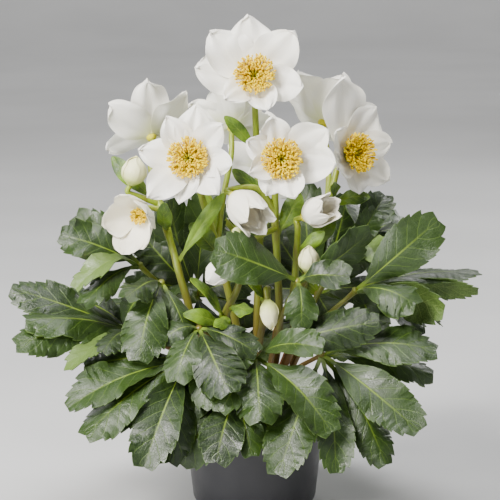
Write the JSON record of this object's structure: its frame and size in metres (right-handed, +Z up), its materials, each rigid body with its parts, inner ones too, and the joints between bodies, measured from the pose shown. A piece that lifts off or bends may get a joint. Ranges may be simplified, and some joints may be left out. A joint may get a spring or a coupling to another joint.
{
  "type": "hellebore plant",
  "caption": "Potted hellebore plant with toothed hand-shaped leaves, open white flowers with yellow stamens, half-open flowers and buds.",
  "frame": {"origin": "centre of the pot's underside", "axes": "+Z up along the pot's axis, -Y towards the front that the picture shows, +X to the picture's right"},
  "size_m": [0.374, 0.3002, 0.4028],
  "materials": {
    "pot_plastic": "satin grey, moulded",
    "soil": "dark crumbly potting soil",
    "crown_bark": "rough dark bark",
    "leaf": "satin dark green with paler veins",
    "stem": "smooth olive green",
    "sepal": "soft white",
    "stamens": "powdery yellow",
    "bud": "soft cream green"
  },
  "bodies": {
    "root": {"pot": "pot_plastic", "soil": "soil", "crown": "crown_bark", "leaf_left_middle": "leaf", "leaf_left_high": "leaf", "leaf_left_inner": "leaf", "leaf_front_left": "leaf", "leaf_front_low": "leaf", "leaf_centre_left": "leaf", "leaf_centre": "leaf", "leaf_front_right": "leaf", "leaf_right_high": "leaf", "leaf_right_top": "leaf", "leaf_centre_high": "leaf", "leaf_inner_left": "leaf", "leaf_inner_right": "leaf", "leaf_right_back": "leaf", "leaf_back_right": "leaf", "leaf_back_right_high": "leaf", "leaf_back_low": "leaf", "leaf_back_left_high": "leaf", "leaf_back_left": "leaf", "leaf_left_back": "leaf", "stem_left": "stem", "stem_centre_left": "stem", "stem_top": "stem", "stem_centre_right": "stem", "stem_right": "stem", "stem_right_low": "stem", "stem_low_left": "stem", "stem_low_centre": "stem", "stem_back": "stem", "flower_top_sepals": "sepal", "flower_left_sepals": "sepal", "flower_right_sepals": "sepal", "flower_far_right_sepals": "sepal", "flower_back_left_sepals": "sepal", "flower_back_centre_sepals": "sepal", "flower_back_right_sepals": "sepal", "flower_back_low_sepals": "sepal", "cup_left_sepals": "sepal", "cup_centre_sepals": "sepal", "cup_right_sepals": "sepal", "cup_low_sepals": "sepal", "flower_top_stamens": "stamens", "flower_left_stamens": "stamens", "flower_right_stamens": "stamens", "flower_far_right_stamens": "stamens", "flower_back_left_stamens": "stamens", "flower_back_centre_stamens": "stamens", "flower_back_right_stamens": "stamens", "flower_back_low_stamens": "stamens", "cup_left_stamens": "stamens", "cup_centre_stamens": "stamens", "cup_right_stamens": "stamens", "bud_left": "bud", "bud_low": "bud", "bud_right": "bud", "bud_green": "bud", "bud_back": "bud"}
  },
  "joints": []
}
